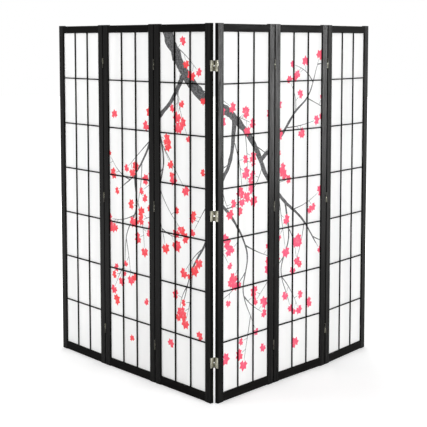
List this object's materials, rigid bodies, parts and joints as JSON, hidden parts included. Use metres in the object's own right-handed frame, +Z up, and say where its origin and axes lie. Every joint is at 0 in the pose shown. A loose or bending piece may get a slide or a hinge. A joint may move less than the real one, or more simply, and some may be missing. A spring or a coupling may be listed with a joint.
{
  "type": "shoji folding screen",
  "caption": "Free-standing folding screen of framed paper panels with a wooden lattice, joined edge to edge by two-way hinges.",
  "frame": {"origin": "on the floor, under the middle of the screen's box as it stands", "axes": "+Z up; -Y is the side that the ridge of the V points to; +X along the screen to the right of someone facing the ridge"},
  "size_m": [1.6784, 1.0196, 1.78],
  "materials": {
    "frame_wood": "black satin lacquer on planed wood, edges eased",
    "lattice_wood": "black satin lacquer on slender bars",
    "paper": "smooth translucent rice paper with a faint fibre",
    "brass": "brass plate, lightly brushed"
  },
  "bodies": {
    "panel_1": {"panel_1_left_stile": "frame_wood", "panel_1_right_stile": "frame_wood", "panel_1_top_rail": "frame_wood", "panel_1_lattice_and_bottom_rail": "lattice_wood", "panel_1_paper": "paper", "hinge_1_2_top_left_half": "brass", "hinge_1_2_middle_left_half": "brass", "hinge_1_2_bottom_left_half": "brass"},
    "panel_2": {"panel_2_left_stile": "frame_wood", "panel_2_right_stile": "frame_wood", "panel_2_top_rail": "frame_wood", "panel_2_lattice_and_bottom_rail": "lattice_wood", "panel_2_paper": "paper", "hinge_1_2_top_right_half": "brass", "hinge_1_2_middle_right_half": "brass", "hinge_1_2_bottom_right_half": "brass", "hinge_2_3_top_left_half": "brass", "hinge_2_3_middle_left_half": "brass", "hinge_2_3_bottom_left_half": "brass"},
    "panel_3": {"panel_3_left_stile": "frame_wood", "panel_3_right_stile": "frame_wood", "panel_3_top_rail": "frame_wood", "panel_3_lattice_and_bottom_rail": "lattice_wood", "panel_3_paper": "paper", "hinge_2_3_top_right_half": "brass", "hinge_2_3_middle_right_half": "brass", "hinge_2_3_bottom_right_half": "brass", "hinge_3_4_top_left_half": "brass", "hinge_3_4_middle_left_half": "brass", "hinge_3_4_bottom_left_half": "brass"},
    "panel_4": {"panel_4_left_stile": "frame_wood", "panel_4_right_stile": "frame_wood", "panel_4_top_rail": "frame_wood", "panel_4_lattice_and_bottom_rail": "lattice_wood", "panel_4_paper": "paper", "hinge_3_4_top_right_half": "brass", "hinge_3_4_middle_right_half": "brass", "hinge_3_4_bottom_right_half": "brass", "hinge_4_5_top_left_half": "brass", "hinge_4_5_middle_left_half": "brass", "hinge_4_5_bottom_left_half": "brass"},
    "panel_5": {"panel_5_left_stile": "frame_wood", "panel_5_right_stile": "frame_wood", "panel_5_top_rail": "frame_wood", "panel_5_lattice_and_bottom_rail": "lattice_wood", "panel_5_paper": "paper", "hinge_4_5_top_right_half": "brass", "hinge_4_5_middle_right_half": "brass", "hinge_4_5_bottom_right_half": "brass", "hinge_5_6_top_left_half": "brass", "hinge_5_6_middle_left_half": "brass", "hinge_5_6_bottom_left_half": "brass"},
    "panel_6": {"panel_6_left_stile": "frame_wood", "panel_6_right_stile": "frame_wood", "panel_6_top_rail": "frame_wood", "panel_6_lattice_and_bottom_rail": "lattice_wood", "panel_6_paper": "paper", "hinge_5_6_top_right_half": "brass", "hinge_5_6_middle_right_half": "brass", "hinge_5_6_bottom_right_half": "brass"}
  },
  "joints": [
    {"name": "seam_2_3", "type": "hinge", "parent": "panel_3", "child": "panel_2", "pos_m": [-0.29416, -0.17728, 0.89], "axis": [0, 0, 1], "range_deg": [0, 180]},
    {"name": "seam_1_2", "type": "hinge", "parent": "panel_2", "child": "panel_1", "pos_m": [-0.55486, 0.17012, 0.89], "axis": [0, 0, -1], "range_deg": [-1.5, 178.5]},
    {"name": "ridge", "type": "hinge", "parent": "panel_3", "child": "panel_4", "pos_m": [0.0027, -0.49435, 0.89], "axis": [0, 0, 1], "range_deg": [-100, 78]},
    {"name": "seam_4_5", "type": "hinge", "parent": "panel_4", "child": "panel_5", "pos_m": [0.29955, -0.17728, 0.89], "axis": [0, 0, -1], "range_deg": [-1.5, 178.5]},
    {"name": "seam_5_6", "type": "hinge", "parent": "panel_5", "child": "panel_6", "pos_m": [0.56925, 0.16318, 0.89], "axis": [0, 0, 1], "range_deg": [-5.5, 174.5]}
  ]
}
